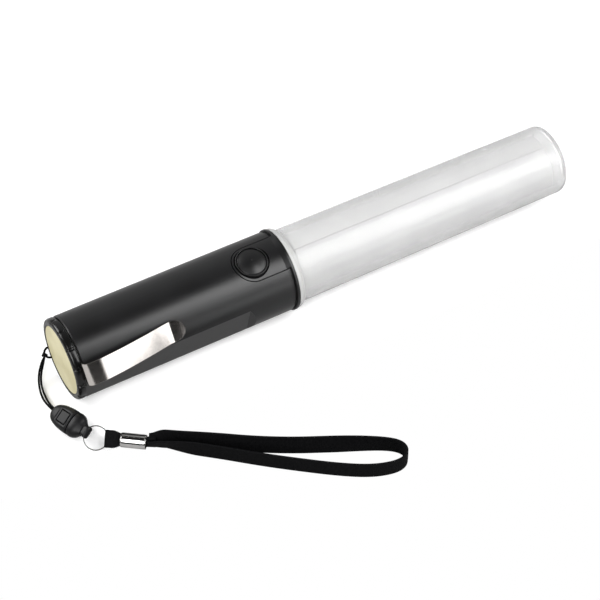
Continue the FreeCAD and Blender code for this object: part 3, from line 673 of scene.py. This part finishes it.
RING_CENTRE = Vector((-0.146118, -0.03667, 0.0047))
RING_NORMAL = Vector((-0.25787, -0.499905, 0.8268)).normalized()
HUB = Vector((-0.141066, -0.039799, 0.004384))


def make_ring():
    """Split ring: wire wound twice, with its two ends stepped over each other."""
    r = 5.95 * MM
    wire = 0.27 * MM
    start = (HUB - RING_CENTRE).normalized()
    start = (start - RING_NORMAL * start.dot(RING_NORMAL)).normalized()
    side = RING_NORMAL.cross(start)
    points = []
    count = 96
    for k in range(count + 1):
        a = 4 * math.pi * k / count + math.radians(140)
        turn = k / count
        step = 2 * smooth_step((turn - 0.5) * 9 + 0.5) - 1
        around = (start * math.cos(a) + side * math.sin(a)) * r
        points.append(RING_CENTRE + around + RING_NORMAL * (step * wire * 0.92))
    ring = thin_cord("split_ring_wire", points, wire, MAT["ring"])
    ring.data.resolution_u = 4
    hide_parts("split_ring")
    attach(ring, "ring")


def make_webbing_end():
    """End of the webbing, folded round the ring and gathered into the crimp."""
    into = FERRULE[0] + (FERRULE[1] - FERRULE[0]) * 0.15
    ahead = (into - HUB).normalized()
    across = RING_NORMAL.cross((HUB - RING_CENTRE).normalized()).normalized()
    across = (across - ahead * across.dot(ahead)).normalized()
    out = ahead.cross(across).normalized()
    reach = (into - HUB).length
    fold = 1.15 * MM
    path = []
    for k in range(26):
        t = k / 25
        path.append(into.lerp(HUB, t) + out * (0.55 * MM + (fold - 0.55 * MM) * smooth_step(t * 1.3)))
    for k in range(1, 16):
        a = math.pi * k / 16
        path.append(HUB + out * fold * math.cos(a) - ahead * fold * math.sin(a))
    for k in range(26):
        t = 1 - k / 25
        path.append(into.lerp(HUB, t) - out * (0.55 * MM + (fold - 0.55 * MM) * smooth_step(t * 1.3)))
    line = even_line(path, 0.2 * MM)
    widths = []
    for p in line:
        t = min(max((p - HUB).dot(ahead) / reach, 0.0), 1.0)
        widths.append((4.35 - 1.75 * smooth_step((t - 0.25) / 0.75)) * MM)
    end = ribbon("webbing_end", line, [across] * len(line), widths, 0.95 * MM, MAT["webbing"], 1.0 * MM)
    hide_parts("webbing_loop")
    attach(end, "strap")


SEAM_HALF = 0.06


def make_crimp():
    """Rolled metal sleeve with an open seam, pressed round the webbing."""
    a, b = FERRULE
    ahead = (b - a).normalized()
    length = (b - a).length
    face = Vector((-0.3254, -0.5766, 0.7494))
    face = (face - ahead * face.dot(ahead)).normalized()
    over = ahead.cross(face).normalized()
    if over.z < 0:
        over = -over
    seam = math.radians(34)
    columns = 72
    rows = 97
    verts = []
    for outer in (True, False):
        for i in range(rows):
            s = i / (rows - 1)
            ends = min(s, 1 - s) * length / MM
            lip = 0.12 * (1 - smooth_step(ends / 0.5))
            r = (3.5 - lip if outer else 3.05 + lip) * MM
            for j in range(columns):
                angle = seam + SEAM_HALF + 2 * (math.pi - SEAM_HALF) * j / (columns - 1)
                flat = 1 - 0.05 * math.cos(2 * angle)
                direction = face * math.cos(angle) + over * math.sin(angle)
                verts.append(a + ahead * (s * length) + direction * (r * flat))
    faces = grid_faces(rows, columns)
    offset = rows * columns
    faces += [tuple(offset + v for v in f[::-1]) for f in grid_faces(rows, columns)]
    for i in range(rows - 1):
        for j in (0, columns - 1):
            quad = (i * columns + j, (i + 1) * columns + j,
                    offset + (i + 1) * columns + j, offset + i * columns + j)
            faces.append(quad if j else quad[::-1])
    for j in range(columns - 1):
        for i in (0, rows - 1):
            quad = (i * columns + j, i * columns + j + 1, offset + i * columns + j + 1, offset + i * columns + j)
            faces.append(quad[::-1] if i else quad)
    crimp = mesh_object("crimp", verts, faces, MAT["crimp"])
    soften(crimp, 0.1, 50, 2)
    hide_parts("ferrule")
    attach(crimp, "strap")


# ---------------------------------------------------------------- buckle

BUCKLE_ORIGIN = Vector((-0.1537, -0.01894, 0.00465))
BUCKLE_TURN = (Matrix.Rotation(math.radians(-71), 3, "Z") @ Matrix.Rotation(math.radians(-8), 3, "Y")
               @ Matrix.Rotation(math.radians(28), 3, "X"))


def buckle_at(x, y, z):
    return BUCKLE_ORIGIN + (BUCKLE_TURN @ Vector((x, y, z))) * MM


def spread(sections, count):
    """More sections between the given (x, half width, half thickness), on a smooth line."""
    line = smooth_through([Vector(s) for s in sections], count)
    return [(p.x, p.y, p.z) for p in line]


def oval_body(name, sections, mat, columns=64, power=0.82):
    verts = []
    for x, half_w, half_t in sections:
        for j in range(columns):
            a = 2 * math.pi * j / columns
            c, s = math.cos(a), math.sin(a)
            y = half_w * math.copysign(abs(c) ** power, c)
            z = half_t * math.copysign(abs(s) ** power, s)
            verts.append(buckle_at(x, y, z))
    return mesh_object(name, verts, capped_grid(len(sections), columns), mat)


def buckle_box(name, lo, hi, mat=None):
    """Plain cutter or block on the buckle's own axes."""
    corners = [(x, y, z) for x in (lo[0], hi[0]) for y in (lo[1], hi[1]) for z in (lo[2], hi[2])]
    faces = [(0, 1, 3, 2), (4, 6, 7, 5), (0, 4, 5, 1), (2, 3, 7, 6), (0, 2, 6, 4), (1, 5, 7, 3)]
    return mesh_object(name, [buckle_at(*c) for c in corners], faces, mat or MAT["buckle"], smooth=False)


def baked_copy(obj):
    """Replace an object's mesh by what its modifiers make of it."""
    graph = bpy.context.evaluated_depsgraph_get()
    graph.update()
    mesh = bpy.data.meshes.new_from_object(obj.evaluated_get(graph))
    obj.modifiers.clear()
    obj.data = mesh
    return obj


def cut_away(obj, *cutters):
    for cutter in cutters:
        cut = obj.modifiers.new("cut", "BOOLEAN")
        cut.operation = "DIFFERENCE"
        cut.solver = "EXACT"
        cut.object = cutter
    baked_copy(obj)
    for cutter in cutters:
        bpy.data.objects.remove(cutter)
    for poly in obj.data.polygons:
        poly.use_smooth = True
    return obj


def make_buckle():
    socket_rows = [(-9.0, 2.4, 1.9), (-8.6, 3.1, 2.35), (-7.2, 4.4, 2.9), (-3.6, 5.7, 3.5),
                   (1.0, 6.3, 3.9), (4.5, 6.35, 4.05), (5.1, 5.95, 3.65)]
    socket = oval_body("buckle_female", spread(socket_rows, 5), MAT["buckle"])
    cut_away(socket, buckle_box("cut_a", (-5.4, -3.85, -1.75), (9, 3.85, 1.75)),
             buckle_box("cut_b", (-3.2, -3.4, 0), (3.2, 3.4, 8)),
             buckle_box("cut_c", (-4.3, -4.1, 3.05), (4.0, 4.1, 8)))
    soften(socket, 0.16, 32)
    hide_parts("buckle_socket")
    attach(socket, "lanyard")
    plug_rows = [(5.6, 5.85, 3.65), (6.1, 6.35, 4.15), (8.0, 6.3, 4.2), (10.0, 5.4, 3.7),
                 (11.4, 4.2, 2.9), (12.6, 3.4, 2.3)]
    plug = oval_body("buckle_male", spread(plug_rows, 5), MAT["buckle"])
    neck_rows = [(11.5, 3.3, 2.3), (12.6, 2.9, 1.9), (13.9, 3.0, 2.0), (15.3, 3.1, 1.95), (16.0, 2.9, 1.4)]
    neck = oval_body("buckle_neck", spread(neck_rows, 4), MAT["buckle"], 48, 0.6)
    tongue = buckle_box("buckle_tongue", (-4.8, -3.4, -1.5), (7.0, 3.4, -0.5))
    soften(neck, 0.15, 40)
    soften(tongue, 0.2, 40)
    soften(plug, 0.16, 32)
    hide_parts("buckle_plug")
    for piece in (plug, neck, tongue):
        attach(piece, "plug")
    pad = buckle_box("buckle_pad", (-2.7, -2.9, 0.9), (2.7, 2.9, 3.2))
    soften(pad, 0.35, 40)
    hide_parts("buckle_latch")
    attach(pad, "latch")


# ---------------------------------------------------------------- floor, lights and camera

def area_light(name, place, target, size, power, shape="RECTANGLE", size_y=None, color=(1, 1, 1)):
    data = bpy.data.lights.new(name, "AREA")
    data.shape = shape
    data.size = size
    data.size_y = size_y or size
    data.energy = power
    data.color = color
    lamp = link(bpy.data.objects.new(name, data))
    lamp.location = place
    lamp.visible_camera = False
    lamp.rotation_euler = (Vector(target) - Vector(place)).to_track_quat("-Z", "Y").to_euler()
    return lamp


def make_world():
    """White to the eye, and a soft studio round the object for its light and reflections."""
    world = bpy.data.worlds.new("studio")
    world.use_nodes = True
    tree = world.node_tree
    coords = add(tree, "ShaderNodeTexCoord")
    facing = add(tree, "ShaderNodeVectorMath", operation="DOT_PRODUCT")
    facing.inputs[1].default_value = Vector((0.2, 0.9, 0.4)).normalized()
    tree.links.new(coords.outputs["Generated"], facing.inputs[0])
    fade = add(tree, "ShaderNodeMapRange")
    fade.inputs["From Min"].default_value = 0.45
    fade.inputs["From Max"].default_value = 1.0
    fade.inputs["To Min"].default_value = 0.02
    fade.inputs["To Max"].default_value = 0.5
    tree.links.new(facing.outputs["Value"], fade.inputs["Value"])
    path = add(tree, "ShaderNodeLightPath")
    room = tree.nodes["Background"]
    tree.links.new(fade.outputs["Result"], room.inputs["Strength"])
    room.inputs["Color"].default_value = (1, 1, 1, 1)
    page = add(tree, "ShaderNodeBackground")
    page.inputs["Color"].default_value = (1, 1, 1, 1)
    mix = add(tree, "ShaderNodeMixShader")
    tree.links.new(path.outputs["Is Camera Ray"], mix.inputs[0])
    tree.links.new(room.outputs["Background"], mix.inputs[1])
    tree.links.new(page.outputs["Background"], mix.inputs[2])
    tree.links.new(mix.outputs["Shader"], tree.nodes["World Output"].inputs["Surface"])
    bpy.context.scene.world = world


FLOOR_SIZE = 0.45
FLOOR_FADE = (-47, -42)  # mm across the axis, from open to paper


def open_floor(tree, paper):
    """Paper near the baton, nothing in front of it: the strap shows where it swings below the floor."""
    place = add(tree, "ShaderNodeTexCoord")
    split = add(tree, "ShaderNodeSeparateXYZ")
    near = add(tree, "ShaderNodeMapRange")
    near.inputs["From Min"].default_value = at(0, FLOOR_FADE[0], 0).y
    near.inputs["From Max"].default_value = at(0, FLOOR_FADE[1], 0).y
    clear = add(tree, "ShaderNodeBsdfTransparent")
    mix = add(tree, "ShaderNodeMixShader")
    tree.links.new(place.outputs["Object"], split.inputs["Vector"])
    tree.links.new(split.outputs["Y"], near.inputs["Value"])
    tree.links.new(near.outputs["Result"], mix.inputs[0])
    tree.links.new(clear.outputs["BSDF"], mix.inputs[1])
    tree.links.new(paper.outputs["BSDF"], mix.inputs[2])
    return mix


def make_stage():
    floor_mat, tree, bsdf = new_material("floor_paper")
    paper = noise_node(tree, 3.0)
    vary_color(tree, bsdf, paper, (0.93, 0.93, 0.93), (0.95, 0.95, 0.95))
    bsdf.inputs["Roughness"].default_value = 0.9
    bsdf.inputs["Specular IOR Level"].default_value = 0.0
    bsdf.inputs["Emission Color"].default_value = (1, 1, 1, 1)
    bsdf.inputs["Emission Strength"].default_value = 0.1
    bounce = add(tree, "ShaderNodeBsdfDiffuse")
    bounce.inputs["Color"].default_value = (0.42, 0.42, 0.42, 1)
    path = add(tree, "ShaderNodeLightPath")
    mix = add(tree, "ShaderNodeMixShader")
    bright = add(tree, "ShaderNodeMath", operation="MAXIMUM")
    tree.links.new(path.outputs["Is Camera Ray"], bright.inputs[0])
    tree.links.new(path.outputs["Is Transmission Ray"], bright.inputs[1])
    tree.links.new(bright.outputs["Value"], mix.inputs[0])
    tree.links.new(bounce.outputs["BSDF"], mix.inputs[1])
    tree.links.new(open_floor(tree, bsdf).outputs["Shader"], mix.inputs[2])
    tree.links.new(mix.outputs["Shader"], tree.nodes["Material Output"].inputs["Surface"])
    edge = [2 * math.pi * k / 96 for k in range(96)]
    rim = [(FLOOR_SIZE * math.cos(t), FLOOR_SIZE * math.sin(t), -0.0002) for t in edge]
    floor = mesh_object("floor", rim, [tuple(range(len(rim)))], floor_mat, smooth=False)
    make_world()
    area_light("key_box", (0.56, -0.80, 0.92), (0.02, 0, 0.03), 0.60, 13, size_y=1.15)
    area_light("front_right_box", (0.55, -1.04, 0.05), (-0.03, 0, 0.03), 0.75, 3.2, size_y=0.6)
    area_light("right_soft", (1.35, -0.50, 0.85), (0, 0, 0), 0.9, 11)
    area_light("left_soft", (-0.95, -0.70, 0.95), (0, 0, 0), 0.9, 17)
    area_light("back_left_soft", (-0.85, 0.85, 0.75), (0.05, 0, 0.03), 0.9, 17)
    view = bpy.context.scene.view_settings
    view.view_transform = "Standard"
    view.look = "None"


def make_camera():
    azimuth, elevation, distance = math.radians(-29.44), math.radians(48.54), 0.9805
    back = Vector((math.sin(azimuth) * math.cos(elevation), -math.cos(azimuth) * math.cos(elevation),
                   math.sin(elevation)))
    data = bpy.data.cameras.new("camera")
    data.lens = 111.27
    data.sensor_width = 36.0
    data.clip_start = 0.01
    data.clip_end = 20.0
    camera = link(bpy.data.objects.new("camera", data))
    camera.location = at(135.32, 0, -30.53) + back * distance
    camera.rotation_mode = "QUATERNION"
    camera.rotation_quaternion = (-back).to_track_quat("-Z", "Y")
    bpy.context.scene.camera = camera


make_camera()
make_buckle()
make_knot()
make_ring()
make_webbing_end()
make_crimp()
make_cord("cord_front", CORD_FRONT, "lanyard_cord_front")
make_cord("cord_back", CORD_BACK, "lanyard_cord_back")
make_webbing_root()
make_strap()
make_cap()
make_button()
make_clip()
dress_nodes()
make_stage()
